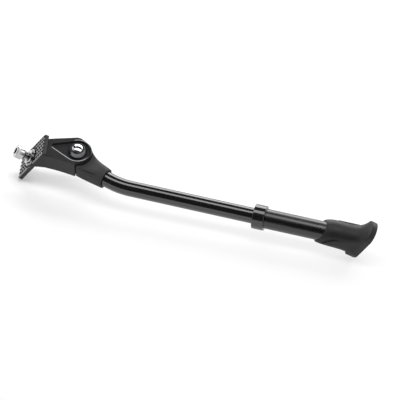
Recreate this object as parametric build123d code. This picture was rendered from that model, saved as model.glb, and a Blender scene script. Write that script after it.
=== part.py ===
from build123d import *
from math import cos, radians, sin
import os

# Bicycle kickstand: a cast head bolts under the frame, a cast knuckle folds in the head's fork,
# and a telescopic leg ends in a moulded foot. Shown with the leg down.
# Frame: origin at the bolt hole on the plate's top face, X forward, Y to the bicycle's left, Z up.
# All lengths are millimetres and all angles are degrees.

# Mounting plate, lying flat under the frame
PLATE_OUTER = 26.0
PLATE_INNER = 24.2
PLATE_REAR = 15.0
PLATE_FRONT = 11.4
PLATE_THICKNESS = 3.4
PLATE_CORNER = 2.0
KNURL_ALONG = 4.0
KNURL_ACROSS = 4.7
KNURL_WIDTH = 2.4
KNURL_DEPTH = 1.0
KNURL_MARGIN = 1.2
THREAD_BOSS_DIAMETER = 12.5
THREAD_BOSS_DEPTH = 8.0

# Mounting hardware
BOLT_DIAMETER = 8.0
BOLT_HEAD_DIAMETER = 13.0
BOLT_HEAD_HEIGHT = 8.0
BOLT_HEAD_EDGE = 0.8
BOLT_SOCKET_WIDTH = 6.0
BOLT_SOCKET_DEPTH = 4.5
BOLT_BARE_LENGTH = 6.6
BOLT_TIP_REACH = 1.5
FLAT_WASHER_DIAMETER = 18.0
FLAT_WASHER_THICKNESS = 2.0
SPRING_WASHER_DIAMETER = 14.4
SPRING_WASHER_THICKNESS = 2.2
SPRING_WASHER_SPLIT = 1.2
SPRING_WASHER_SLANT = 25.0

# Arm and hinge end of the head
PIVOT_TILT = 30.0
PIVOT_DROP = 46.3
HEAD_THICKNESS = 19.4
HEAD_EDGE = 0.9
ARM_ROOT_REAR = 11.7
ARM_ROOT_FRONT = 10.2
ARM_ROOT_LEVEL = 31.8
ARM_WAIST_FRONT = 13.3
ARM_WAIST_LEVEL = 16.0
STOP_FRONT = 17.5
STOP_EDGE = 0.7
CHEEK_RADIUS = 14.5
INNER_CHEEK = 4.2
SHOULDER_ANGLE = 40.0
SHOULDER_STEP = 3.0
HOOD_REAR = 17.0
HOOD_REAR_LEVEL = 3.0
HOOD_TURN_ANGLE = 58.0
RECESS_RADIUS = 12.5
RECESS_DEPTH = 2.4
RECESS_EDGE = 0.5
RECESS_TIP_RADIUS = 2.2
RECESS_TIP = (-4.0, -24.5)

# Pivot hardware
PIVOT_DIAMETER = 8.0
PIVOT_HEAD_DIAMETER = 10.4
PIVOT_HEAD_HEIGHT = 2.6
PIVOT_DOME_RADIUS = 9.0
COLLAR_DIAMETER = 18.4
COLLAR_PROUD = 3.0
COLLAR_BEVEL_WIDTH = 2.0
COLLAR_BEVEL_HEIGHT = 3.6
SLEEVE_DIAMETER = 14.0
THRUST_WASHER_DIAMETER = 25.0
THRUST_WASHER_THICKNESS = 0.8
INNER_WASHER_DIAMETER = 16.0
INNER_WASHER_THICKNESS = 1.6
INNER_RECESS_DIAMETER = 18.0
INNER_RECESS_DEPTH = 2.0
NUT_WIDTH = 13.0
NUT_HEIGHT = 5.0
PIVOT_TIP_REACH = 1.5

# Detent in the arm
PLUNGER_DIAMETER = 7.0
PLUNGER_LENGTH = 9.0
PLUNGER_TIP_HEIGHT = 2.0
DETENT_BORE_DEPTH = 19.0
DETENT_WIRE = 1.0
DETENT_TURNS = 5
NOTCH_DEPTH = 0.4

# Knuckle
EYE_RADIUS = 13.4
EYE_THICKNESS = 8.8
FOLD_ANGLE = 95.0
SOCKET_ANGLE = 26.8
SOCKET_OFFSET = 8.3
SOCKET_END = 35.7
SOCKET_DEPTH = 12.0
SOCKET_DIAMETER = 20.4
KNUCKLE_START = 4.5
KNUCKLE_REAR = 20.5
KNUCKLE_FRONT = 8.2
KNUCKLE_BASE = 0.4
KNUCKLE_CORNER = 1.6
# Groove along the knuckle's front shoulder, in the socket frame
KNUCKLE_GROOVE = ((6.8, -4.5, 8.5), (7.1, -5.5, 14.5), (7.6, -7.4, 23.0), (7.2, -9.3, 31.0))
KNUCKLE_GROOVE_RADIUS = 0.6
# Shares of the way to the socket, of the rear taper and of the rise to the socket's size
KNUCKLE_BLEND = ((0.0, 0.0, 0.0), (0.34, 0.62, 0.26), (0.62, 0.92, 0.9), (1.0, 1.0, 1.0))
# Corner radius of a fully rounded section, as a share of its width
ROUND_END = 0.49

# Leg
LEG_ANGLE = 8.4
BEND_RADIUS = 70.0
BEND_REACH = 17.3
UPPER_DIAMETER = 16.0
UPPER_WALL = 2.0
UPPER_LENGTH = 212.0
LOWER_DIAMETER = 20.0
LOWER_START = 141.0
LOWER_LENGTH = 97.0
CLAMP_DIAMETER = 25.0
CLAMP_LENGTH = 12.0
CLAMP_LIP = 2.0
CLAMP_EDGE = 0.6
SET_SCREW_DIAMETER = 5.0
SET_SCREW_SOCKET = 2.5
SET_SCREW_SOCKET_DEPTH = 2.0
TUBE_SCREW_LEVEL = 29.5

# Foot
FOOT_HEIGHT = 39.4
FOOT_MOUTH_DIAMETER = 22.0
FOOT_WAIST_HEIGHT = 25.0
FOOT_WAIST_DIAMETER = 25.0
FOOT_NECK_HEIGHT = 13.0
FOOT_NECK_LENGTH = 32.0
FOOT_NECK_WIDTH = 22.5
FOOT_NECK_SHIFT = -1.0
SOLE_LEVEL = 253.8
SOLE_LENGTH = 48.0
SOLE_WIDTH = 25.0
SOLE_TOE_SHIFT = 0.6
SOLE_THICKNESS = 5.5
HEEL_REACH = 22.2
HEEL_LENGTH = 14.0
HEEL_WIDTH = 18.2
HEEL_CORNER = 3.0
HEEL_HEIGHT = 9.5
RIB_ANGLE = -72.0
RIB_REACH = 14.4
RIB_THICKNESS = 4.0
RIB_START = 223.0
RIB_LENGTH = 22.0
# Fold line round the boot's front flank, in the leg frame
FOOT_FOLD = ((-8.5, 10.6, 207.0), (-2.0, 12.2, 213.4), (3.7, 12.1, 221.7), (5.3, 12.2, 230.5))
FOOT_FOLD_RADIUS = 1.3

# Clearances
FIXED_FIT = 0.03
RUNNING_FIT = 0.05
SLIDING_FIT = 0.10
BODY_GAP = 0.30
STOP_GAP = 0.80
SWEEP_GAP = 0.50

# Derived sizes
MID_LEVEL = HEAD_THICKNESS / 2
PLATE_LENGTH = PLATE_OUTER + PLATE_INNER
PLATE_WIDTH = PLATE_FRONT + PLATE_REAR
SLOT_WIDTH = EYE_THICKNESS + 2 * (THRUST_WASHER_THICKNESS + RUNNING_FIT)
HOOD_LEVEL = INNER_CHEEK + SLOT_WIDTH
EYE_LEVEL = INNER_CHEEK + THRUST_WASHER_THICKNESS + RUNNING_FIT
KNUCKLE_TOP = HOOD_LEVEL - BODY_GAP
SWEEP_RADIUS = CHEEK_RADIUS + SWEEP_GAP
HOOD_SWEEP_RADIUS = HOOD_REAR + HOOD_REAR_LEVEL / 2 + SWEEP_GAP
RECESS_FLOOR = HEAD_THICKNESS - RECESS_DEPTH
COLLAR_TOP = HEAD_THICKNESS + COLLAR_PROUD
LOWER_BORE = UPPER_DIAMETER + 2 * SLIDING_FIT
ABOVE_ALL = 200.0

# Hinge frame: x forward, y down along the leg's plane, z out along the pivot axis, inner face at z 0
PIVOT_AXIS = Vector(0, cos(radians(PIVOT_TILT)), sin(radians(PIVOT_TILT)))
DOWN_ARM = Vector(0, sin(radians(PIVOT_TILT)), -cos(radians(PIVOT_TILT)))
HINGE = Plane(origin=DOWN_ARM * PIVOT_DROP, x_dir=(1, 0, 0), z_dir=PIVOT_AXIS)


def along(angle):
    """Direction in the hinge plane, swung forward from straight down by an angle."""
    return Vector(sin(radians(angle)), cos(radians(angle)), 0)


# Socket frame: origin on the socket's axis level with the pivot, x to the front, z down the socket
SOCKET_DIRECTION = along(SOCKET_ANGLE)
SOCKET_ORIGIN = Vector(SOCKET_OFFSET, 0, MID_LEVEL)
SOCKET_FRONT = Vector(cos(radians(SOCKET_ANGLE)), -sin(radians(SOCKET_ANGLE)), 0)
SOCKET = Plane(origin=SOCKET_ORIGIN, x_dir=SOCKET_FRONT, z_dir=SOCKET_DIRECTION)

# Leg frame, in the hinge frame: origin where the two straight runs would meet, x out, z down the leg
BEND_POINT = SOCKET_ORIGIN + SOCKET_DIRECTION * (SOCKET_END + BEND_REACH)
LEG = Plane(origin=BEND_POINT, x_dir=(0, 0, 1), z_dir=along(LEG_ANGLE))
LEG_DIRECTION = HINGE.x_dir * sin(radians(LEG_ANGLE)) + HINGE.y_dir * cos(radians(LEG_ANGLE))
GROUND_POINT = (HINGE.location * LEG.location * Pos(0, 0, SOLE_LEVEL)).position


def rod(diameter, length, start=0.0):
    """Round bar along z from a start level."""
    return Pos(0, 0, start) * Cylinder(diameter / 2, length, align=(Align.CENTER, Align.CENTER, Align.MIN))


def ring(outer, inner, length, start=0.0):
    """Plain round ring along z from a start level."""
    return rod(outer, length, start) - rod(inner, length, start)


def hex_bar(width, length, start=0.0):
    """Six-sided bar along z, given by its width across flats."""
    return extrude(Pos(0, 0, start) * RegularPolygon(width / 2, 6, major_radius=False), length)


def hinge_point(angle, radius):
    """Point of the hinge plane at an angle swung forward from straight down."""
    return tuple(along(angle) * radius)[:2]


def in_hinge(shape):
    """Move a shape from the hinge frame to the part's frame."""
    return HINGE.location * shape


def in_leg(shape):
    """Move a shape from the leg frame to the part's frame."""
    return in_hinge(LEG.location * shape)


def plate_center():
    """Place of the plate's middle on its top face."""
    return Pos((PLATE_FRONT - PLATE_REAR) / 2, (PLATE_OUTER - PLATE_INNER) / 2, 0)


def knurl_pits():
    """Square pits set cornerwise in straight rows, cut into the plate round the washer's seat."""
    rows = int((PLATE_WIDTH - 2 * KNURL_MARGIN) / KNURL_ACROSS)
    columns = int((PLATE_LENGTH - 2 * KNURL_MARGIN) / KNURL_ALONG)
    pit = extrude(Rotation(0, 0, 45) * Rectangle(KNURL_WIDTH, KNURL_WIDTH), -KNURL_DEPTH)
    grid = GridLocations(KNURL_ACROSS, KNURL_ALONG, rows, columns)
    seat = (FLAT_WASHER_DIAMETER + KNURL_WIDTH) / 2
    pits = []
    for spot in grid.locations:
        place = plate_center() * spot
        if place.position.length > seat:
            pits.append(place * pit)
    return pits


def arm_front():
    """Front edge of the arm, from the stop face at the hinge up to the plate."""
    root = (ARM_ROOT_FRONT, -ARM_ROOT_LEVEL)
    stop = Polyline((CHEEK_RADIUS, 0), (STOP_FRONT - STOP_EDGE, 0), (STOP_FRONT, -STOP_EDGE))
    waist = ThreePointArc((STOP_FRONT, -STOP_EDGE), (ARM_WAIST_FRONT, -ARM_WAIST_LEVEL), root)
    return [stop, waist, Line(root, (ARM_ROOT_FRONT, -PIVOT_DROP))]


def arm_outline():
    """Side view of the arm with its round inner cheek, the folded stop and the front stop."""
    angle = -(90 + SHOULDER_ANGLE)
    rear_top = (-ARM_ROOT_REAR, -PIVOT_DROP)
    rear_root = (-ARM_ROOT_REAR, -ARM_ROOT_LEVEL)
    shoulder_out = hinge_point(angle, CHEEK_RADIUS + SHOULDER_STEP)
    shoulder_in = hinge_point(angle, CHEEK_RADIUS)
    rear = Polyline((ARM_ROOT_FRONT, -PIVOT_DROP), rear_top, rear_root, shoulder_out, shoulder_in)
    nose = ThreePointArc(shoulder_in, (0, CHEEK_RADIUS), (CHEEK_RADIUS, 0))
    return make_face(Curve() + [rear, nose] + arm_front())


def hood_outline():
    """Side view of the outer layer, whose cheek is fuller at the rear and covers the knuckle."""
    rear_top = (-ARM_ROOT_REAR, -PIVOT_DROP)
    rear_root = (-ARM_ROOT_REAR, -ARM_ROOT_LEVEL)
    rear_end = (-HOOD_REAR, -HOOD_REAR_LEVEL)
    turn = hinge_point(-HOOD_TURN_ANGLE, CHEEK_RADIUS)
    heading = Vector(*rear_end) - Vector(*rear_root)
    rear = Polyline((ARM_ROOT_FRONT, -PIVOT_DROP), rear_top, rear_root, rear_end)
    bulge = Spline(rear_end, turn, tangents=(heading, along(90 - HOOD_TURN_ANGLE)))
    nose = ThreePointArc(turn, (0, CHEEK_RADIUS), (CHEEK_RADIUS, 0))
    return make_face(Curve() + [rear, bulge, nose] + arm_front())


def teardrop(level, grown=0.0):
    """Outline of the recess round the pivot, drawn out to a point toward the plate."""
    tip = Pos(*RECESS_TIP) * Circle(RECESS_TIP_RADIUS + grown)
    return Pos(0, 0, level) * make_hull(Circle(RECESS_RADIUS + grown).edges() + tip.edges())


def recess():
    """Cutter for the recess, with a bevelled mouth."""
    bevel = HEAD_THICKNESS - RECESS_EDGE
    mouth = loft([teardrop(bevel), teardrop(HEAD_THICKNESS, RECESS_EDGE)], ruled=True)
    return extrude(teardrop(RECESS_FLOOR), RECESS_DEPTH) + mouth


def head_body():
    """Cast bracket: knurled plate, threaded boss, arm and the fork that holds the knuckle."""
    hood = extrude(Pos(0, 0, HOOD_LEVEL) * hood_outline(), HEAD_THICKNESS - HOOD_LEVEL)
    outer_face = hood.faces().sort_by(Axis.Z)[-1]
    hood = fillet(outer_face.edges(), HEAD_EDGE)
    arm = extrude(arm_outline(), HOOD_LEVEL) + hood
    arm -= recess()
    arm -= rod(2 * SWEEP_RADIUS, SLOT_WIDTH, INNER_CHEEK)
    arm -= rod(PIVOT_DIAMETER + 2 * FIXED_FIT, HEAD_THICKNESS)
    arm -= rod(INNER_RECESS_DIAMETER, INNER_RECESS_DEPTH)
    arm -= detent_place() * rod(PLUNGER_DIAMETER + 2 * RUNNING_FIT, DETENT_BORE_DEPTH + CHEEK_RADIUS)
    arm = in_hinge(arm)
    plate = plate_center() * RectangleRounded(PLATE_WIDTH, PLATE_LENGTH, PLATE_CORNER)
    body = extrude(plate, -PLATE_THICKNESS) + rod(THREAD_BOSS_DIAMETER, THREAD_BOSS_DEPTH, -THREAD_BOSS_DEPTH)
    above_plate = Pos(0, 0, ABOVE_ALL / 2 - PLATE_THICKNESS / 2) * Box(ABOVE_ALL, ABOVE_ALL, ABOVE_ALL)
    body += arm - above_plate
    body -= rod(BOLT_DIAMETER + 2 * FIXED_FIT, 2 * ABOVE_ALL, -ABOVE_ALL)
    return body - knurl_pits()


def mount_bolt():
    """Socket-head screw, standing in the plate with some of its shank bare."""
    head_seat = FLAT_WASHER_THICKNESS + SPRING_WASHER_THICKNESS + BOLT_BARE_LENGTH
    shank_end = -THREAD_BOSS_DEPTH - BOLT_TIP_REACH
    head = rod(BOLT_HEAD_DIAMETER, BOLT_HEAD_HEIGHT, head_seat)
    top = head_seat + BOLT_HEAD_HEIGHT
    head = chamfer(head.edges().group_by(Axis.Z)[-1], BOLT_HEAD_EDGE)
    head -= hex_bar(BOLT_SOCKET_WIDTH, BOLT_SOCKET_DEPTH, top - BOLT_SOCKET_DEPTH)
    return head + rod(BOLT_DIAMETER, head_seat - shank_end, shank_end)


def mount_flat_washer():
    """Flat washer lying on the plate."""
    return ring(FLAT_WASHER_DIAMETER, BOLT_DIAMETER + 2 * SLIDING_FIT, FLAT_WASHER_THICKNESS)


def mount_spring_washer():
    """Split washer lying on the flat washer, cut through on the slant."""
    coil = ring(SPRING_WASHER_DIAMETER, BOLT_DIAMETER + 2 * SLIDING_FIT, SPRING_WASHER_THICKNESS)
    slit = Box(SPRING_WASHER_DIAMETER, SPRING_WASHER_SPLIT, 3 * SPRING_WASHER_THICKNESS)
    slit = Pos(SPRING_WASHER_DIAMETER / 2, 0, SPRING_WASHER_THICKNESS / 2) * (Rotation(SPRING_WASHER_SLANT, 0, 0) * slit)
    return Pos(0, 0, FLAT_WASHER_THICKNESS) * (coil - slit)


def nut_seat():
    """Level of the nut's face on the inner side."""
    return INNER_RECESS_DEPTH - INNER_WASHER_THICKNESS


def pivot_bolt():
    """Pivot bolt with a low domed head on the collar."""
    tip = nut_seat() - NUT_HEIGHT - PIVOT_TIP_REACH
    dome = Pos(0, 0, COLLAR_TOP + PIVOT_HEAD_HEIGHT - PIVOT_DOME_RADIUS) * Sphere(PIVOT_DOME_RADIUS)
    head = rod(PIVOT_HEAD_DIAMETER, PIVOT_HEAD_HEIGHT, COLLAR_TOP) & dome
    return in_hinge(head + rod(PIVOT_DIAMETER, COLLAR_TOP - tip, tip))


def pivot_collar():
    """Bevelled collar in the recess, under the pivot bolt's head."""
    collar = ring(COLLAR_DIAMETER, PIVOT_DIAMETER + 2 * FIXED_FIT, COLLAR_TOP - RECESS_FLOOR, RECESS_FLOOR)
    rim = collar.edges().group_by(Axis.Z)[-1].sort_by(SortBy.LENGTH)[-1]
    top_face = collar.faces().sort_by(Axis.Z)[-1]
    return in_hinge(chamfer(rim, COLLAR_BEVEL_WIDTH, COLLAR_BEVEL_HEIGHT, reference=top_face))


def pivot_sleeve():
    """Steel sleeve clamped between the cheeks, which the eye turns on."""
    bore = PIVOT_DIAMETER + 2 * FIXED_FIT
    return in_hinge(ring(SLEEVE_DIAMETER, bore, SLOT_WIDTH, INNER_CHEEK))


def thrust_washer(level):
    """Plain washer on a cheek's inside, round the sleeve."""
    bore = SLEEVE_DIAMETER + 2 * FIXED_FIT
    return in_hinge(ring(THRUST_WASHER_DIAMETER, bore, THRUST_WASHER_THICKNESS, level))


def pivot_inner_washer():
    """Washer in the round recess of the inner cheek."""
    bore = PIVOT_DIAMETER + 2 * FIXED_FIT
    return in_hinge(ring(INNER_WASHER_DIAMETER, bore, INNER_WASHER_THICKNESS, nut_seat()))


def pivot_nut():
    """Lock nut on the inner side."""
    nut = hex_bar(NUT_WIDTH, NUT_HEIGHT, nut_seat() - NUT_HEIGHT)
    bore = rod(PIVOT_DIAMETER + 2 * FIXED_FIT, NUT_HEIGHT, nut_seat() - NUT_HEIGHT)
    return in_hinge(nut - bore)


def detent_place():
    """Frame of the detent bore: on the pivot axis at the middle of the eye, z up the arm."""
    level = EYE_LEVEL + EYE_THICKNESS / 2
    return Plane(origin=(0, 0, level), x_dir=(1, 0, 0), z_dir=(0, -1, 0)).location


def detent_plunger():
    """Plunger with a rounded tip that rides on the eye's rim."""
    start = EYE_RADIUS + RUNNING_FIT
    plunger = rod(PLUNGER_DIAMETER, PLUNGER_LENGTH, start)
    tip = plunger.edges().group_by(Axis.Z)[0]
    return in_hinge(detent_place() * fillet(tip, PLUNGER_TIP_HEIGHT))


def detent_spring():
    """Compression spring between the plunger and the end of its bore."""
    start = EYE_RADIUS + RUNNING_FIT + PLUNGER_LENGTH
    free = CHEEK_RADIUS + DETENT_BORE_DEPTH - start
    coil_radius = (PLUNGER_DIAMETER - DETENT_WIRE) / 2 - RUNNING_FIT
    height = free - DETENT_WIRE
    path = Helix(height / DETENT_TURNS, height, coil_radius)
    wire = sweep(Plane(path ^ 0) * Circle(DETENT_WIRE / 2), path=path)
    return in_hinge(detent_place() * (Pos(0, 0, start + DETENT_WIRE / 2) * wire))


def knuckle_section(level, rear, front, base, top, corner):
    """Rounded section of the knuckle across the socket's axis at a level down from the pivot."""
    shape = RectangleRounded(rear + front, top - base, corner)
    center = Pos((front - rear) / 2, MID_LEVEL - (top + base) / 2, level)
    return SOCKET.location * (center * shape)


def knuckle_blank():
    """Knuckle's outside, blended from a flat-sided block at the hinge to a round socket."""
    radius = SOCKET_DIAMETER / 2
    low = MID_LEVEL - radius
    high = MID_LEVEL + radius
    run = SOCKET_END - KNUCKLE_START
    sections = []
    for share, taper, lift in KNUCKLE_BLEND:
        rear = KNUCKLE_REAR + (radius - KNUCKLE_REAR) * taper
        front = KNUCKLE_FRONT + (radius - KNUCKLE_FRONT) * share
        base = KNUCKLE_BASE + (low - KNUCKLE_BASE) * lift
        top = KNUCKLE_TOP + (high - KNUCKLE_TOP) * lift
        round_end = ROUND_END * min(rear + front, top - base)
        corner = KNUCKLE_CORNER + (round_end - KNUCKLE_CORNER) * share
        sections.append(knuckle_section(KNUCKLE_START + run * share, rear, front, base, top, corner))
    return loft(sections)


def groove(points, radius):
    """Round cutter that follows a smooth line through some points."""
    path = Spline(*points)
    return sweep(Plane(path ^ 0) * Circle(radius), path=path)


def eye_notch(angle):
    """Groove across the eye's rim that the plunger drops into."""
    x, y = hinge_point(angle, EYE_RADIUS - NOTCH_DEPTH + PLUNGER_DIAMETER / 2)
    return Pos(x, y, 0) * rod(PLUNGER_DIAMETER, HEAD_THICKNESS)


def leg_knuckle():
    """Cast hinge half: eye between the cheeks, web, block with the stop face, and tube socket."""
    blank = knuckle_blank()
    blank -= Pos(0, STOP_GAP - ABOVE_ALL / 2, 0) * Box(ABOVE_ALL, ABOVE_ALL, ABOVE_ALL)
    blank -= rod(2 * HOOD_SWEEP_RADIUS, ABOVE_ALL, KNUCKLE_TOP)
    slab = Pos(0, 0, EYE_LEVEL + EYE_THICKNESS / 2) * Box(ABOVE_ALL, ABOVE_ALL, EYE_THICKNESS)
    web = blank & slab
    eye = rod(2 * EYE_RADIUS, EYE_THICKNESS, EYE_LEVEL) - eye_notch(180) - eye_notch(180 + FOLD_ANGLE)
    knuckle = blank - rod(2 * SWEEP_RADIUS, ABOVE_ALL, -ABOVE_ALL / 2)
    knuckle += web
    knuckle += eye
    knuckle -= rod(SLEEVE_DIAMETER + 2 * RUNNING_FIT, ABOVE_ALL, -ABOVE_ALL / 2)
    bore = rod(UPPER_DIAMETER + 2 * FIXED_FIT, SOCKET_DEPTH, SOCKET_END - SOCKET_DEPTH)
    knuckle -= SOCKET.location * bore
    knuckle -= tube_screw_place() * rod(SET_SCREW_DIAMETER + 2 * FIXED_FIT, SOCKET_DIAMETER)
    knuckle -= SOCKET.location * groove(KNUCKLE_GROOVE, KNUCKLE_GROOVE_RADIUS)
    return in_hinge(knuckle)


def tube_screw_place():
    """Frame of the tube's set screw, z out through the hidden side of the socket."""
    level = SOCKET_ORIGIN + SOCKET_DIRECTION * TUBE_SCREW_LEVEL
    return Plane(origin=level, x_dir=(1, 0, 0), z_dir=(0, 0, -1)).location


def set_screw(reach, start):
    """Headless screw with a hexagon socket in its outer end."""
    screw = rod(SET_SCREW_DIAMETER, reach - start, start)
    return screw - hex_bar(SET_SCREW_SOCKET, SET_SCREW_SOCKET_DEPTH, reach - SET_SCREW_SOCKET_DEPTH)


def tube_set_screw():
    """Set screw that holds the upper tube in the socket."""
    inside = UPPER_DIAMETER / 2 - UPPER_WALL
    return in_hinge(tube_screw_place() * set_screw(SOCKET_DIAMETER / 2, inside))


def upper_path():
    """Middle line of the upper tube: socket, one bend, and the straight leg."""
    start = SOCKET_ORIGIN + SOCKET_DIRECTION * (SOCKET_END - SOCKET_DEPTH)
    end = BEND_POINT + along(LEG_ANGLE) * UPPER_LENGTH
    return FilletPolyline(start, BEND_POINT, end, radius=BEND_RADIUS)


def upper_tube():
    """Bent inner tube of the leg."""
    path = upper_path()
    outer = Circle(UPPER_DIAMETER / 2)
    section = Plane(path ^ 0) * (outer - Circle(UPPER_DIAMETER / 2 - UPPER_WALL))
    tube = sweep(section, path=path)
    tube -= tube_screw_place() * rod(SET_SCREW_DIAMETER + 2 * FIXED_FIT, SOCKET_DIAMETER)
    return in_hinge(tube)


def clamp_screw_place():
    """Frame of the clamp's set screw, z out through the hidden side of the collar."""
    level = LOWER_START - CLAMP_LIP + CLAMP_LENGTH / 2 + CLAMP_LIP / 2
    return Plane(origin=(0, 0, level), x_dir=(0, 0, 1), z_dir=(-1, 0, 0)).location


def clamp_screw_hole():
    """Hole for the clamp's set screw."""
    return clamp_screw_place() * rod(SET_SCREW_DIAMETER + 2 * FIXED_FIT, CLAMP_DIAMETER)


def lower_tube():
    """Outer tube that slides on the upper tube."""
    return in_leg(ring(LOWER_DIAMETER, LOWER_BORE, LOWER_LENGTH, LOWER_START) - clamp_screw_hole())


def clamp_collar():
    """Band with a lip over the lower tube's end."""
    start = LOWER_START - CLAMP_LIP
    collar = rod(CLAMP_DIAMETER, CLAMP_LENGTH, start)
    ends = collar.edges().group_by(Axis.Z)
    collar = fillet(ends[0] + ends[-1], CLAMP_EDGE)
    collar -= rod(LOWER_DIAMETER + 2 * FIXED_FIT, CLAMP_LENGTH, LOWER_START)
    collar -= rod(LOWER_BORE, CLAMP_LENGTH, start)
    return in_leg(collar - clamp_screw_hole())


def collar_screw():
    """Set screw that fixes the leg's length."""
    return in_leg(clamp_screw_place() * set_screw(CLAMP_DIAMETER / 2, UPPER_DIAMETER / 2 + BODY_GAP))


def level_place(height, toe_shift=0.0):
    """Level frame at a height above the ground, centred on the leg, x to the toe, z down."""
    point = GROUND_POINT + LEG_DIRECTION * (height / LEG_DIRECTION.Z) + Vector(0, toe_shift, 0)
    return Plane(origin=point, x_dir=(0, 1, 0), z_dir=(0, 0, -1)).location


def boot_slice(height, diameter):
    """Level slice of the round boot, drawn out to the toe by the leg's slant."""
    length = diameter / cos(radians(PIVOT_TILT))
    return level_place(height) * RectangleRounded(length, diameter, ROUND_END * diameter)


def foot_heel():
    """Thick block at the sole's inner end."""
    outline = Pos(HEEL_LENGTH / 2 - HEEL_REACH, 0) * RectangleRounded(HEEL_LENGTH, HEEL_WIDTH, HEEL_CORNER)
    return extrude(level_place(0) * outline, -HEEL_HEIGHT)


def foot_rib():
    """Rib along the boot's rear, which the rider's shoe pushes."""
    reach = RIB_REACH - LOWER_DIAMETER / 2
    bar = Pos(RIB_REACH - reach / 2, 0, RIB_START + RIB_LENGTH / 2) * Box(reach, RIB_THICKNESS, RIB_LENGTH)
    return in_leg(Rotation(0, 0, RIB_ANGLE) * bar)


def foot():
    """Moulded boot, blended from a round mouth to a long sole that lies flat on the ground."""
    neck = RectangleRounded(FOOT_NECK_LENGTH, FOOT_NECK_WIDTH, ROUND_END * FOOT_NECK_WIDTH)
    outline = RectangleRounded(SOLE_LENGTH, SOLE_WIDTH, ROUND_END * SOLE_WIDTH)
    sole = level_place(0, SOLE_TOE_SHIFT) * outline
    sections = [
        boot_slice(FOOT_HEIGHT, FOOT_MOUTH_DIAMETER),
        boot_slice(FOOT_WAIST_HEIGHT, FOOT_WAIST_DIAMETER),
        level_place(FOOT_NECK_HEIGHT, FOOT_NECK_SHIFT) * neck,
        Pos(0, 0, SOLE_THICKNESS) * sole,
    ]
    boot = loft(sections) + extrude(sole, -SOLE_THICKNESS) + foot_heel() + foot_rib()
    boot -= in_leg(groove(FOOT_FOLD, FOOT_FOLD_RADIUS))
    tube_end = LOWER_START + LOWER_LENGTH
    return boot - in_leg(rod(LOWER_DIAMETER + 2 * FIXED_FIT, ABOVE_ALL, tube_end - ABOVE_ALL))


NODES = {
    "head_body": head_body(),
    "mount_bolt": mount_bolt(),
    "mount_flat_washer": mount_flat_washer(),
    "mount_spring_washer": mount_spring_washer(),
    "pivot_bolt": pivot_bolt(),
    "pivot_collar": pivot_collar(),
    "pivot_sleeve": pivot_sleeve(),
    "outer_thrust_washer": thrust_washer(HOOD_LEVEL - THRUST_WASHER_THICKNESS),
    "inner_thrust_washer": thrust_washer(INNER_CHEEK),
    "pivot_inner_washer": pivot_inner_washer(),
    "pivot_nut": pivot_nut(),
    "detent_plunger": detent_plunger(),
    "detent_spring": detent_spring(),
    "leg_knuckle": leg_knuckle(),
    "tube_set_screw": tube_set_screw(),
    "upper_tube": upper_tube(),
    "lower_tube": lower_tube(),
    "clamp_collar": clamp_collar(),
    "collar_screw": collar_screw(),
    "foot": foot(),
}

os.makedirs("parts", exist_ok=True)
for name, shape in NODES.items():
    export_step(shape, f"parts/{name}.step")
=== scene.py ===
"""Looks of a folding bicycle kickstand.

Finishes go on its solids. New meshes give the threaded screws, the lock nut, the plate's knurl and the rim
of the head's recess. A studio with a white table shows the stand from the photograph's angle.
"""

import logging
import math
from collections.abc import Callable, Mapping, Sequence
from dataclasses import dataclass, field
from enum import Enum
from typing import Any

import bpy
from mathutils import Matrix, Vector

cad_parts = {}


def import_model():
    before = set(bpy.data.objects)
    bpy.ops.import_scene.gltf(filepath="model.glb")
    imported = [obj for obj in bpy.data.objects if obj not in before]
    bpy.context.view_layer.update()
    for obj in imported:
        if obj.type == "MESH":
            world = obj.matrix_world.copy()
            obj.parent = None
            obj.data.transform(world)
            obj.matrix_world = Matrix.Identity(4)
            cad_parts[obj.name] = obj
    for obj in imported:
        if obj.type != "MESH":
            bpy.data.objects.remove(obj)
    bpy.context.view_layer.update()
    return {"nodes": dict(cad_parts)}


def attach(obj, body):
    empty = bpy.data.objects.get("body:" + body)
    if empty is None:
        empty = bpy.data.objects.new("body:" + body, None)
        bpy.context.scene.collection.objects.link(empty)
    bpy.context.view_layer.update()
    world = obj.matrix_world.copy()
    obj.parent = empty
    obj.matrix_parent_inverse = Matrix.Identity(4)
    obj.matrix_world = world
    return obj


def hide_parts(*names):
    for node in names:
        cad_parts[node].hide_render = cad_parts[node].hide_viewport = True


LOG = logging.getLogger("kickstand")
MM = 0.001

# Directions in the shared frame: X forward, Y to the bicycle's left, Z up
PIVOT_TILT = math.radians(30.0)
PIVOT_AXIS = Vector((0.0, math.cos(PIVOT_TILT), math.sin(PIVOT_TILT)))
DOWN_ARM = Vector((0.0, math.sin(PIVOT_TILT), -math.cos(PIVOT_TILT)))
PIVOT_DROP = 46.3 * MM
LEG_ANGLE = math.radians(8.4)
LEG_AXIS = Vector((1.0, 0.0, 0.0)) * math.sin(LEG_ANGLE) + DOWN_ARM * math.cos(LEG_ANGLE)

# Faces that meet at more than this are shown as a corner
CORNER_ANGLE = math.radians(32)
# Each flank of a thread takes 1 / 2.4 of its pitch, and the flat crest takes the rest
THREAD_STEEPNESS = 2.4
# Drawn lines are 50 times as long as they are apart
DRAWN_STRETCH = 0.02
# Part of the colour noise's range that most of its values fall in
DRIFT_RANGE = (0.3, 0.7)
# Cosine between an edge's rounded and plain normals, from sound coat to fully rubbed
RUB_RANGE = (0.99, 0.8)
# Share of open space round a point, from deep in a groove to clear of it, over which the painted shade
# in grooves fades out
PAINTED_SHADE_RANGE = (0.4, 0.9)

Point = tuple[float, float, float]
Radius = Callable[[float], float]


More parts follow.
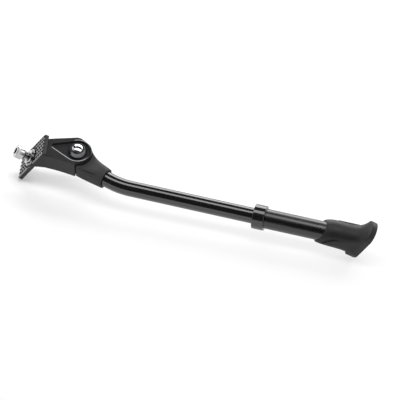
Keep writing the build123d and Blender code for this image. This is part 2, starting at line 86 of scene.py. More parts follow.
def srgb(code: str) -> tuple[float, float, float, float]:
    """Turn an sRGB hex colour into linear values.

    Args:
        code: six hex digits after a hash sign.

    Returns:
        Linear red, green and blue with full alpha.
    """
    channels = [int(code[i:i + 2], 16) / 255 for i in (1, 3, 5)]
    linear = [c / 12.92 if c <= 0.04045 else ((c + 0.055) / 1.055) ** 2.4 for c in channels]
    return (linear[0], linear[1], linear[2], 1.0)


def add_node(
    tree: bpy.types.NodeTree,
    kind: str,
    settings: Mapping[str, Any] | None = None,
    values: Mapping[str | int, Any] | None = None,
    links: Mapping[str | int, bpy.types.NodeSocket] | None = None,
) -> bpy.types.Node:
    """Add one node to a tree.

    Args:
        tree: the material's or world's node tree.
        kind: Blender's name for the node's type.
        settings: properties of the node itself.
        values: constants for its input sockets.
        links: output sockets that feed its input sockets.

    Returns:
        The new node.
    """
    node = tree.nodes.new(kind)
    for name, value in (settings or {}).items():
        setattr(node, name, value)
    for socket, value in (values or {}).items():
        node.inputs[socket].default_value = value
    for socket, source in (links or {}).items():
        tree.links.new(source, node.inputs[socket])
    return node


class Grain(Enum):
    """Kinds of fine texture that making a surface leaves on it."""

    ORANGE_PEEL = "soft dimples, left by a coat that pulled together or by polishing"
    PEBBLED = "mould eroded by sparks"
    DRAWN = "tube drawn through a die"
    SPANGLED = "plating that settled in crystals"


@dataclass(frozen=True)
class Finish:
    """One real surface: what it is made of, its colours, its gloss and its texture.

    Lengths are millimetres. The colour drifts to the shade where the coat lies thicker or dirt has stayed,
    and to the edge colour where corners are rubbed. Hollows whose walls lie within the groove reach get
    painted shade: their colour is darkened, by the groove share at most.
    """

    title: str
    slot: str
    colour: str
    shade: str
    edge: str
    metallic: float
    roughness: float
    uneven: float
    grain: Grain
    grain_mm: float
    grain_depth_mm: float
    edge_mm: float = 0.3
    edge_share: float = 0.5
    drift_mm: float = 16.0
    specular: float = 0.5
    painted_shade_mm: float = 1.6
    painted_shade_share: float = 0.85

    def texture(self, tree: bpy.types.NodeTree, place: bpy.types.NodeSocket) -> bpy.types.NodeSocket:
        """Add the finish's grain.

        Args:
            tree: the material's node tree.
            place: position on the object in metres.

        Returns:
            Height of the grain, from 0 to 1.
        """
        scale = 1.0 / (self.grain_mm * MM)
        if self.grain is Grain.PEBBLED or self.grain is Grain.SPANGLED:
            cells = add_node(
                tree, "ShaderNodeTexVoronoi", {"feature": "SMOOTH_F1"}, {"Scale": scale}, {"Vector": place}
            )
            return cells.outputs["Distance"]
        if self.grain is Grain.DRAWN:
            turn = LEG_AXIS.rotation_difference(Vector((0.0, 0.0, 1.0))).to_euler()
            level = add_node(tree, "ShaderNodeMapping", None, {"Rotation": turn}, {"Vector": place})
            long = add_node(
                tree, "ShaderNodeMapping", None,
                {"Scale": (1.0, 1.0, DRAWN_STRETCH)}, {"Vector": level.outputs[0]},
            )
            place = long.outputs[0]
        cloud = add_node(
            tree, "ShaderNodeTexNoise", None, {"Scale": scale, "Detail": 2.0}, {"Vector": place}
        )
        return cloud.outputs[0]

    def material(self) -> bpy.types.Material:
        """Build the node material of this finish.

        Returns:
            A material whose colour drifts, whose gloss is uneven, whose edges are rounded and rubbed, and
            which has painted shade in narrow grooves.
        """
        made = bpy.data.materials.new(self.title)
        made.use_nodes = True
        tree = made.node_tree
        tree.nodes.clear()
        place = add_node(tree, "ShaderNodeTexCoord").outputs["Object"]
        drift = add_node(
            tree, "ShaderNodeTexNoise", None,
            {"Scale": 1.0 / (self.drift_mm * MM), "Detail": 4.0}, {"Vector": place},
        )
        body = add_node(
            tree, "ShaderNodeMix", {"data_type": "RGBA"},
            {6: srgb(self.colour), 7: srgb(self.shade)}, {0: drift.outputs[0]},
        )
        soft = add_node(tree, "ShaderNodeBevel", {"samples": 6}, {"Radius": self.edge_mm * MM})
        face = add_node(tree, "ShaderNodeNewGeometry")
        turn = add_node(
            tree, "ShaderNodeVectorMath", {"operation": "DOT_PRODUCT"}, None,
            {0: soft.outputs[0], 1: face.outputs["Normal"]},
        )
        rubbed = add_node(
            tree, "ShaderNodeMapRange", None,
            {"From Min": RUB_RANGE[0], "From Max": RUB_RANGE[1], "To Min": 0.0, "To Max": self.edge_share},
            {0: turn.outputs["Value"]},
        )
        colour = add_node(
            tree, "ShaderNodeMix", {"data_type": "RGBA"},
            {7: srgb(self.edge)}, {0: rubbed.outputs[0], 6: body.outputs[2]},
        )
        gloss = add_node(
            tree, "ShaderNodeMapRange", None,
            {
                "From Min": DRIFT_RANGE[0], "From Max": DRIFT_RANGE[1],
                "To Min": self.roughness - self.uneven, "To Max": self.roughness + self.uneven,
            },
            {0: drift.outputs[0]},
        )
        relief = add_node(
            tree, "ShaderNodeBump", None, {"Strength": 1.0, "Distance": self.grain_depth_mm * MM},
            {"Height": self.texture(tree, place), "Normal": soft.outputs[0]},
        )
        # Painted shade: the colour darkens in narrow hollows and between parts, where shade falls
        hollow = add_node(
            tree, "ShaderNodeAmbientOcclusion", {"samples": 8}, {"Distance": self.painted_shade_mm * MM}
        )
        clear = add_node(
            tree, "ShaderNodeMapRange", None,
            {
                "From Min": PAINTED_SHADE_RANGE[0], "From Max": PAINTED_SHADE_RANGE[1],
                "To Min": 1.0 - self.painted_shade_share, "To Max": 1.0,
            },
            {0: hollow.outputs["AO"]},
        )
        shaded = add_node(
            tree, "ShaderNodeMix", {"data_type": "RGBA"},
            {6: srgb("#000000")}, {0: clear.outputs[0], 7: colour.outputs[2]},
        )
        shader = add_node(
            tree, "ShaderNodeBsdfPrincipled", None,
            {"Metallic": self.metallic, "Specular IOR Level": self.specular},
            {"Base Color": shaded.outputs[2], "Roughness": gloss.outputs[0], "Normal": relief.outputs[0]},
        )
        add_node(tree, "ShaderNodeOutputMaterial", None, None, {"Surface": shader.outputs[0]})
        return made


# Die-cast aluminium in baked paint: soft black faces, a little lighter along rubbed edges. The coat's
# dimples are about 0.5 mm across and are drawn coarser, so that they show.
COATED_CASTING = Finish(
    title="painted_casting", slot="cast_black",
    colour="#313132", shade="#2a2a2b", edge="#404042",
    metallic=0.0, roughness=0.33, uneven=0.05,
    grain=Grain.ORANGE_PEEL, grain_mm=1.4, grain_depth_mm=0.03,
    specular=0.2, painted_shade_mm=1.0,
)
# Die-cast aluminium in powder coat: the leg's casting is duller than the head, with no sharp mirror. Its
# dimples are drawn coarser too.
MATT_CASTING = Finish(
    title="powder_coated_casting", slot="cast_black",
    colour="#454546", shade="#3d3d3e", edge="#555556",
    metallic=0.0, roughness=0.46, uneven=0.05,
    grain=Grain.ORANGE_PEEL, grain_mm=1.4, grain_depth_mm=0.015,
    specular=0.05,
)
# Cast aluminium rim round the recess, in grey metal as a painted highlight: a line that catches the light.
RIM_PAINTED_HIGHLIGHT = Finish(
    title="rim_painted_highlight", slot="cast_black",
    colour="#6e6e70", shade="#5c5c5e", edge="#7a7a7c",
    metallic=1.0, roughness=0.2, uneven=0.04,
    grain=Grain.ORANGE_PEEL, grain_mm=3.0, grain_depth_mm=0.004,
    edge_mm=0.1,
)
# Knurl crests in light grey as a painted highlight, with a low shine, and painted shade between them.
KNURL_PAINTED_HIGHLIGHT = Finish(
    title="knurl_painted_highlight", slot="cast_black",
    colour="#a0a0a2", shade="#8c8c8e", edge="#b0b0b2",
    metallic=0.0, roughness=0.3, uneven=0.05,
    grain=Grain.ORANGE_PEEL, grain_mm=1.4, grain_depth_mm=0.006,
    edge_mm=0.1, painted_shade_mm=4.0, painted_shade_share=0.97,
)
# Steel tube in stoved gloss enamel: near-black, and sharp reflections that run along it.
GLOSS_ENAMEL = Finish(
    title="stoved_gloss_enamel", slot="gloss_black",
    colour="#1a1a1b", shade="#151516", edge="#222223",
    metallic=0.0, roughness=0.1, uneven=0.02,
    grain=Grain.ORANGE_PEEL, grain_mm=6.0, grain_depth_mm=0.006,
    specular=1.0,
)
# Drawn aluminium tube in black anodising: the lines from the die blur its reflections a little, across the
# leg. They are finer than 0.1 mm and are drawn coarser, so that they show.
BLACK_ANODISING = Finish(
    title="black_anodised_tube", slot="satin_black",
    colour="#0d0d0e", shade="#0a0a0b", edge="#1c1c1e",
    metallic=0.0, roughness=0.3, uneven=0.03,
    grain=Grain.DRAWN, grain_mm=0.6, grain_depth_mm=0.003,
    specular=0.85,
)
# Clamp band, turned and enamelled: like the tube, with softer reflections.
BAND_ENAMEL = Finish(
    title="enamelled_band", slot="satin_black",
    colour="#1a1a1b", shade="#151516", edge="#252527",
    metallic=0.0, roughness=0.15, uneven=0.03,
    grain=Grain.ORANGE_PEEL, grain_mm=4.0, grain_depth_mm=0.006,
    specular=1.0,
)
# Foot moulded in filled nylon: dull charcoal with a fine sparked grain, drawn coarser so that it shows.
MOULDED_NYLON = Finish(
    title="moulded_nylon", slot="moulded_black",
    colour="#1e1e1f", shade="#181819", edge="#2c2c2e",
    metallic=0.0, roughness=0.5, uneven=0.06,
    grain=Grain.PEBBLED, grain_mm=1.0, grain_depth_mm=0.03,
    edge_mm=0.5, specular=0.38,
)
# Zinc-plated steel: bright grey metal with painted shade in its grooves, and small crystals in its gloss.
# The crystals are finer than 0.1 mm and are drawn coarser, so that they show.
ZINC_PLATE = Finish(
    title="zinc_plated_steel", slot="zinc_steel",
    colour="#d2d2d3", shade="#b6b6b8", edge="#e2e2e3",
    metallic=1.0, roughness=0.25, uneven=0.06,
    grain=Grain.SPANGLED, grain_mm=2.0, grain_depth_mm=0.004,
    edge_mm=0.15, painted_shade_mm=4.0, painted_shade_share=0.95,
)
# Chrome-plated steel, polished: a mirror, softened a little by wear.
POLISHED_CHROME = Finish(
    title="polished_chrome", slot="chromed_steel",
    colour="#e4e5e7", shade="#d9dadd", edge="#f0f0f1",
    metallic=1.0, roughness=0.15, uneven=0.02,
    grain=Grain.ORANGE_PEEL, grain_mm=3.0, grain_depth_mm=0.002,
)
# Turned steel with a thin black oxide: grey metal, darker than the plated screws, with a broad sheen.
BLACK_OXIDE = Finish(
    title="black_oxide_steel", slot="dark_steel",
    colour="#808184", shade="#707174", edge="#9e9fa3",
    metallic=1.0, roughness=0.28, uneven=0.06,
    grain=Grain.ORANGE_PEEL, grain_mm=1.5, grain_depth_mm=0.006,
)
# Plain oiled steel: grey metal.
OILED_STEEL = Finish(
    title="oiled_steel", slot="plain_steel",
    colour="#8f9194", shade="#77797c", edge="#a6a8ab",
    metallic=1.0, roughness=0.33, uneven=0.07,
    grain=Grain.ORANGE_PEEL, grain_mm=1.5, grain_depth_mm=0.006,
)
# Natural nylon: a cream plastic with a waxy sheen.
NYLON_INSERT = Finish(
    title="natural_nylon", slot="moulded_black",
    colour="#d8d4c6", shade="#cbc6b6", edge="#e2dfd4",
    metallic=0.0, roughness=0.4, uneven=0.05,
    grain=Grain.PEBBLED, grain_mm=0.8, grain_depth_mm=0.01,
    edge_mm=0.1,
)


@dataclass(frozen=True)
class Ring:
    """One closed row of points round a turned piece: its level, and its radius at each angle."""

    level: float
    radius: Radius


def circle(radius: float) -> Radius:
    """Same radius at every angle."""
    return lambda angle: radius


def hexagon(width: float) -> Radius:
    """Radius of a hexagon, given by its width across flats."""
    return lambda angle: width / 2 / math.cos((angle + math.pi / 6) % (math.pi / 3) - math.pi / 6)


def new_piece(name: str, points: Sequence[Vector], faces: Sequence[Sequence[int]]) -> bpy.types.Object:
    """Make a piece of points and faces.

    Args:
        name: the piece's name.
        points: corners in metres.
        faces: indexes of each face's corners.

    Returns:
        The new object, shaded smooth except at its corners.
    """
    mesh = bpy.data.meshes.new(name)
    mesh.from_pydata(points, [], faces)
    mesh.validate()
    mesh.shade_smooth()
    mesh.set_sharp_from_angle(angle=CORNER_ANGLE)
    made = bpy.data.objects.new(name, mesh)
    bpy.context.scene.collection.objects.link(made)
    return made


def skin(name: str, rows: Sequence[Sequence[Vector]], looped: bool = False) -> bpy.types.Object:
    """Join rows of points, each a closed line, as one closed mesh.

    Args:
        name: the piece's name.
        rows: rows in order, so that the skin's outside is to their right.
        looped: joins the last row to the first, instead of closing both ends.

    Returns:
        The new object.
    """
    count = len(rows[0])
    faces: list[tuple[int, ...]] = []
    for row in range(len(rows) if looped else len(rows) - 1):
        low = row * count
        high = (row + 1) % len(rows) * count
        for i in range(count):
            after = (i + 1) % count
            faces.append((low + i, high + i, high + after, low + after))
    if not looped:
        last = (len(rows) - 1) * count
        faces.append(tuple(range(count)))
        faces.append(tuple(last + i for i in reversed(range(count))))
    return new_piece(name, [point for row in rows for point in row], faces)


def turned_mesh(
    name: str, rings: Sequence[Ring], count: int, place: Matrix, looped: bool = False
) -> bpy.types.Object:
    """Skin a stack of rings.

    Args:
        name: the piece's name.
        rings: rings in order, from the axis out and down.
        count: points in each ring.
        place: frame of the piece, with its axis along z.
        looped: joins the last ring to the first, instead of closing both ends.

    Returns:
        The new object.
    """
    rows = []
    angles = [2 * math.pi * i / count for i in range(count)]
    for ring in rings:
        spots = [(math.cos(a) * ring.radius(a), math.sin(a) * ring.radius(a), ring.level) for a in angles]
        rows.append([place @ Vector(spot) for spot in spots])
    return skin(name, rows, looped)


def thread_rings(
    start: float, end: float, outer: float, pitch: float, depth: float, steps: int
) -> list[Ring]:
    """Rows of a screw thread.

    Args:
        start: level of the first row.
        end: level of the last row.
        outer: radius over the crests.
        pitch: distance from crest to crest.
        depth: height of the crests over the roots.
        steps: rows in one pitch.

    Returns:
        Rows from start to end, whose crests wind round the axis.
    """
    rows = round(abs(end - start) / pitch * steps)

    def crest(level: float) -> Radius:
        """Radius of the thread at one level."""
        def radius(angle: float) -> float:
            """Radius at one angle, between root and crest."""
            share = (level / pitch - angle / (2 * math.pi)) % 1.0
            return outer - depth * (1 - min(1.0, THREAD_STEEPNESS * min(share, 1 - share)))
        return radius

    levels = [start + (end - start) * i / rows for i in range(rows + 1)]
    return [Ring(level, crest(level)) for level in levels]


@dataclass
class SubAssembly:
    """Pieces that move together: one body, and the finish of each of its solids."""

    body: str
    finishes: Mapping[str, Finish]

    def dress(self, nodes: Mapping[str, bpy.types.Object], made: dict[str, bpy.types.Material]) -> None:
        """Give each solid its finish.

        Args:
            nodes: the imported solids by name.
            made: materials already built, by title.
        """
        for name, finish in self.finishes.items():
            self.paint(nodes[name], finish, made)
            LOG.info("%s: %s in %s", self.body, name, finish.title)

    def paint(self, piece: bpy.types.Object, finish: Finish, made: dict[str, bpy.types.Material]) -> None:
        """Put one finish on a piece.

        Args:
            piece: a solid or a new mesh.
            finish: its surface.
            made: materials already built, by title.
        """
        if finish.title not in made:
            made[finish.title] = finish.material()
        piece.data.materials.clear()
        piece.data.materials.append(made[finish.title])


@dataclass(frozen=True)
class Rib:
    """Section of one rib: its width at the foot and at the crest, and its height."""

    foot: float
    crest: float
    height: float


@dataclass
class PlateKnurl:
    """Crossed ribs on the plate's gripping face, between its pits. Lengths are metres.

    The reach is any length that is past the plate's ends.
    """

    centre: tuple[float, float] = (-1.8 * MM, 0.9 * MM)
    half_size: tuple[float, float] = (12.2 * MM, 24.1 * MM)
    pitch: tuple[float, float] = (4.7 * MM, 4.0 * MM)
    seat_radius: float = 11.2 * MM
    reach: float = 1.0
    sunk: float = 0.1 * MM
    slanted: Rib = Rib(foot=1.0 * MM, crest=0.6 * MM, height=0.85 * MM)
    straight: Rib = Rib(foot=1.6 * MM, crest=1.1 * MM, height=1.05 * MM)

    def spans(self, start: Vector, along: Vector) -> list[tuple[float, float]]:
        """Stretches of a line that lie on the plate and clear of the washer.

        Args:
            start: the line's point nearest to the plate's middle.
            along: unit vector along the line.

        Returns:
            Start and end of each stretch, as distances along the line.
        """
        low, high = -self.reach, self.reach
        for axis in (0, 1):
            if along[axis]:
                ends = sorted((side * self.half_size[axis] - start[axis]) / along[axis] for side in (-1, 1))
                low, high = max(low, ends[0]), min(high, ends[1])
            elif abs(start[axis]) > self.half_size[axis]:
                return []
        screw = -Vector(self.centre) - start
        nearest = screw.dot(along)
        apart = (screw - along * nearest).length
        half = math.sqrt(max(0.0, self.seat_radius ** 2 - apart ** 2))
        found = [(low, min(high, nearest - half)), (max(low, nearest + half), high)]
        return [(first, last) for first, last in found if last - first > self.slanted.height]

    def build(self) -> bpy.types.Object:
        """Lay both sets of ribs.

        Returns:
            All ribs as one piece.
        """
        points: list[Vector] = []
        faces: list[tuple[int, ...]] = []
        slant = Vector(self.pitch).normalized()
        sets = (
            (self.slanted, slant, self.pitch[0] * slant.y),
            (self.straight, Vector((0.0, 1.0)), self.pitch[0]),
        )
        for rib, along, spacing in sets:
            across = Vector((-along.y, along.x))
            count = math.ceil(math.hypot(*self.half_size) / spacing)
            section = (
                (-rib.foot, -self.sunk),
                (-rib.crest, rib.height),
                (rib.crest, rib.height),
                (rib.foot, -self.sunk),
            )
            for row in range(-count, count):
                start = across * ((row + 0.5) * spacing)
                for span in self.spans(start, along):
                    near = len(points)
                    far = near + len(section)
                    for end in span:
                        spot = Vector(self.centre) + start + along * end
                        for width, up in section:
                            points.append((spot + across * (width / 2)).to_3d() + Vector((0, 0, up)))
                    for i in range(len(section)):
                        after = (i + 1) % len(section)
                        faces.append((near + i, far + i, far + after, near + after))
                    faces.append(tuple(range(near, far)))
                    faces.append(tuple(reversed(range(far, len(points)))))
        return new_piece("plate_knurl", points, faces)


@dataclass
class RecessRim:
    """Rolled rim round the teardrop recess, on the head's outer face. Lengths are metres.

    The section's points are shares of the width and of the height. The fade is the share of a stretch over
    which the rim sinks into the face.
    """

    level: float = 19.4 * MM
    round_radius: float = 13.0 * MM
    tip_radius: float = 2.7 * MM
    tip: tuple[float, float] = (-4.0 * MM, -24.5 * MM)
    steps: int = 64
    height: float = 0.3 * MM
    width: float = 1.0 * MM
    buried: float = 0.6 * MM
    fade: float = 0.25
    section: tuple[tuple[float, float], ...] = (
        (0.0, 0.0), (0.0, 0.7), (0.08, 1.0), (0.16, 0.95), (0.85, 0.2), (1.0, -0.2), (1.05, -0.5)
    )

    def build(self, place: Matrix) -> bpy.types.Object:
        """Sweep the section round the recess's mouth.

        Args:
            place: the pivot's frame.

        Returns:
            The rim.
        """
        tip = Vector(self.tip)
        heading = math.atan2(tip.y, tip.x)
        spread = math.acos((self.round_radius - self.tip_radius) / tip.length)
        low, high = heading + spread, heading + 2 * math.pi - spread
        full = low + 2 * math.pi
        big = Vector((0.0, 0.0, self.round_radius))
        small = Vector((tip.x, tip.y, self.tip_radius))
        # Each stretch: its first and last circle, its first and last angle, and its rise at both ends
        stretches = (
            (big, big, low, high, 1.0, 1.0),
            (big, small, high, high, 1.0, 0.0),
            (small, small, high, full, 0.0, 1.0),
            (small, big, full, full, 1.0, 1.0),
        )
        rows: list[list[Vector]] = [[] for _ in self.section]
        for first, last, start, end, up_first, up_last in stretches:
            for step in range(self.steps):
                share = step / self.steps
                middle = first.lerp(last, share)
                angle = start + (end - start) * share
                rise = self.rise(share, up_first, up_last)
                for row, (out, up) in zip(rows, self.section):
                    away = middle.z + out * self.width
                    lift = up * self.height * rise - self.buried * (1.0 - rise) if up > 0 else -self.buried
                    x = middle.x + away * math.cos(angle)
                    y = middle.y + away * math.sin(angle)
                    row.append(place @ Vector((x, y, self.level + lift)))
        return skin("recess_rim", rows, looped=True)

    def rise(self, share: float, first: float, last: float) -> float:
        """Let the rim sink soon after a stretch's start, or come up just before its end.

        Args:
            share: how far along the stretch.
            first: share of the height at the stretch's start.
            last: share of the height at its end.

        Returns:
            Share of its height there, from 0, sunk in the face, to 1.
        """
        if first == last:
            return first
        near = share if first > last else 1.0 - share
        return max(0.0, 1.0 - near / self.fade)


@dataclass
class HingeHead(SubAssembly):
    """Bracket with its mounting screw and pivot hardware. Lengths are metres.

    The nut's round face is a share of its half width, and its chamfer is cut in steps, as shares of its
    height.
    """

    points: int = 96
    thread_steps: int = 8
    dome_steps: int = 14
    screw_seat: float = 10.8 * MM
    screw_tip: float = -9.5 * MM
    screw_radius: float = 4.0 * MM
    screw_pitch: float = 1.25 * MM
    screw_thread: float = 0.68 * MM
    screw_tip_edge: float = 0.8 * MM
    cap_radius: float = 6.5 * MM
    cap_height: float = 8.0 * MM
    cap_edge: float = 0.8 * MM
    cap_knurl: float = 0.12 * MM
    key_width: float = 6.0 * MM
    key_depth: float = 4.5 * MM
    nut_width: float = 13.0 * MM
    nut_start: float = 0.4 * MM
    nut_height: float = 5.0 * MM
    nut_hex: float = 3.7 * MM
    nut_bore: float = 4.03 * MM
    nut_face: float = 0.95
    nut_chamfer: float = 0.55 * MM
    nut_chamfer_steps: tuple[float, ...] = (0.0, 0.33, 0.67, 1.0)
    nut_collar: float = 5.5 * MM
    insert_radius: float = 4.85 * MM
    insert_depth: float = 0.9 * MM
    insert_sunk: float = 0.2 * MM
    pivot_top: float = 25.0 * MM
    pivot_seat: float = 22.4 * MM
    pivot_tip: float = -6.1 * MM
    pivot_head: float = 5.2 * MM
    pivot_dome: float = 9.0 * MM
    pivot_thread_start: float = -0.6 * MM

    def knurled(self, angle: float) -> float:
        """Radius of the cap's side, which is cut with fine upright ridges."""
        return self.cap_radius - self.cap_knurl * (0.5 + 0.5 * math.cos(angle * self.points / 2))

    def thread(self, start: float, end: float) -> list[Ring]:
        """Rows of the thread that both screws have, from one level to another."""
        return thread_rings(
            start, end, self.screw_radius, self.screw_pitch, self.screw_thread, self.thread_steps
        )

    def build_screw(self) -> bpy.types.Object:
        """Make the socket-head screw, with its key recess, knurled cap and thread.

        Returns:
            The screw, in place of the plain solid.
        """
        top = self.screw_seat + self.cap_height
        floor = top - self.key_depth
        neck = self.screw_radius - self.screw_thread
        rings = [
            Ring(floor - self.key_width / 6, circle(self.key_width / 12)),
            Ring(floor, hexagon(self.key_width)),
            Ring(top - self.cap_edge / 3, hexagon(self.key_width)),
            Ring(top, hexagon(self.key_width + self.cap_edge)),
            Ring(top, circle(self.cap_radius - self.cap_edge)),
            Ring(top - self.cap_edge, circle(self.cap_radius)),
            Ring(top - 1.5 * self.cap_edge, self.knurled),
            Ring(self.screw_seat + 1.5 * self.cap_edge, self.knurled),
            Ring(self.screw_seat + self.cap_edge, circle(self.cap_radius)),
            Ring(self.screw_seat + self.cap_edge / 3, circle(self.cap_radius)),
            Ring(self.screw_seat, circle(self.cap_radius - self.cap_edge / 3)),
            Ring(self.screw_seat, circle(self.screw_radius)),
            Ring(self.screw_seat - self.cap_edge, circle(neck)),
        ]
        start = self.screw_seat - 1.2 * self.cap_edge
        end = self.screw_tip + self.screw_tip_edge
        rings += self.thread(start, end)
        rings += [Ring(end, circle(neck)), Ring(self.screw_tip, circle(neck - self.screw_tip_edge / 2))]
        return turned_mesh("mount_screw", rings, self.points, Matrix.Identity(4))

    def pivot_place(self) -> Matrix:
        """Find the frame of the pivot.

        Returns:
            A frame with z out along the pivot, x forward, and its origin level with the head's inner face.
        """
        across = PIVOT_AXIS.cross(Vector((1.0, 0.0, 0.0)))
        turn = Matrix((Vector((1.0, 0.0, 0.0)), across, PIVOT_AXIS)).transposed().to_4x4()
        return Matrix.Translation(DOWN_ARM * PIVOT_DROP) @ turn

    def build_pivot(self) -> bpy.types.Object:
        """Make the pivot bolt, with its dome and the thread at its tip.

        Returns:
            The bolt, in place of the plain solid.
        """
        centre = self.pivot_top - self.pivot_dome
        widest = math.asin(self.pivot_head / self.pivot_dome)
        rings = []
        for step in range(self.dome_steps):
            angle = widest * (step + 1) / self.dome_steps
            level = centre + self.pivot_dome * math.cos(angle)
            rings.append(Ring(level, circle(self.pivot_dome * math.sin(angle))))
        start = self.pivot_thread_start
        end = self.pivot_tip + self.screw_tip_edge
        neck = self.screw_radius - self.screw_thread
        rings += [
            Ring(self.pivot_seat, circle(self.pivot_head)),
            Ring(self.pivot_seat, circle(self.screw_radius)),
            Ring(start + self.screw_thread, circle(self.screw_radius)),
        ]
        rings += self.thread(start, end)
        rings += [Ring(end, circle(neck)), Ring(self.pivot_tip, circle(neck - self.screw_tip_edge / 2))]
        return turned_mesh("pivot_screw", rings, self.points, self.pivot_place())

    def build_insert(self) -> bpy.types.Object:
        """Make the plastic ring that locks the nut.

        Returns:
            The ring, sunk in the nut's collar.
        """
        end = self.nut_start - self.nut_height
        high = end + self.insert_depth
        low = end + self.insert_sunk
        outer = circle(self.insert_radius)
        bore = circle(self.nut_bore)
        rings = [Ring(high, bore), Ring(high, outer), Ring(low, outer), Ring(low, bore)]
        return turned_mesh("nut_insert", rings, self.points, self.pivot_place(), looped=True)

    def build_nut(self) -> bpy.types.Object:
        """Make the lock nut, with its chamfered corners and round collar.

        Returns:
            The nut, in place of the plain solid.
        """
        six = hexagon(self.nut_width)
        face = self.nut_width / 2 * self.nut_face
        corner = self.nut_width / math.sqrt(3)

        def chamfered(share: float) -> Radius:
            """Hexagon with its corners turned down, from the round face at 0 to sharp at 1."""
            limit = face + (corner - face) * share
            return lambda angle: min(six(angle), limit)

        low = self.nut_start - self.nut_hex
        end = self.nut_start - self.nut_height
        bore = circle(self.nut_bore)
        rings = [
            Ring(self.nut_start - self.nut_chamfer, bore),
            Ring(self.nut_start, circle(self.nut_bore + self.nut_chamfer)),
        ]
        steps = self.nut_chamfer_steps
        rings += [Ring(self.nut_start - self.nut_chamfer * s, chamfered(s)) for s in steps]
        rings += [Ring(low + self.nut_chamfer * s, chamfered(s)) for s in reversed(steps)]
        rings += [
            Ring(low, circle(self.nut_collar)),
            Ring(end + self.nut_chamfer, circle(self.nut_collar)),
            Ring(end + self.nut_chamfer / 3, circle(self.nut_collar - self.nut_chamfer / 3)),
            Ring(end, circle(self.nut_collar - self.nut_chamfer)),
            Ring(end, circle(self.insert_radius)),
            Ring(end + self.insert_depth, circle(self.insert_radius)),
            Ring(end + self.insert_depth, bore),
        ]
        return turned_mesh("pivot_lock_nut", rings, self.points, self.pivot_place(), looped=True)

    def build(self, made: dict[str, bpy.types.Material]) -> None:
        """Make the screws, the nut with its ring, the knurl and the rim, and let them ride on the bracket.

        Args:
            made: materials already built, by title.
        """
        pieces = (
            (self.build_screw(), ZINC_PLATE, "mount_bolt"),
            (self.build_pivot(), POLISHED_CHROME, "pivot_bolt"),
            (self.build_nut(), ZINC_PLATE, "pivot_nut"),
            (self.build_insert(), NYLON_INSERT, None),
            (PlateKnurl().build(), KNURL_PAINTED_HIGHLIGHT, None),
            (RecessRim().build(self.pivot_place()), RIM_PAINTED_HIGHLIGHT, None),
        )
        for piece, finish, node in pieces:
            self.paint(piece, finish, made)
            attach(piece, self.body)
            if node:
                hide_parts(node)
            LOG.info("%s: %s in %s, for %s", self.body, piece.name, finish.title, node or "detail")


@dataclass(frozen=True)
class SoftBox:
    """One soft box beside the leg, facing it. Lengths are metres.

    The angle is in degrees round the leg, up from the camera's side. The width is across the leg and the
    length along it. The level is the brightness of its face, where white paper in plain light is 1.
    """

    name: str
    angle: float
    distance: float
    width: float
    length: float
    level: float


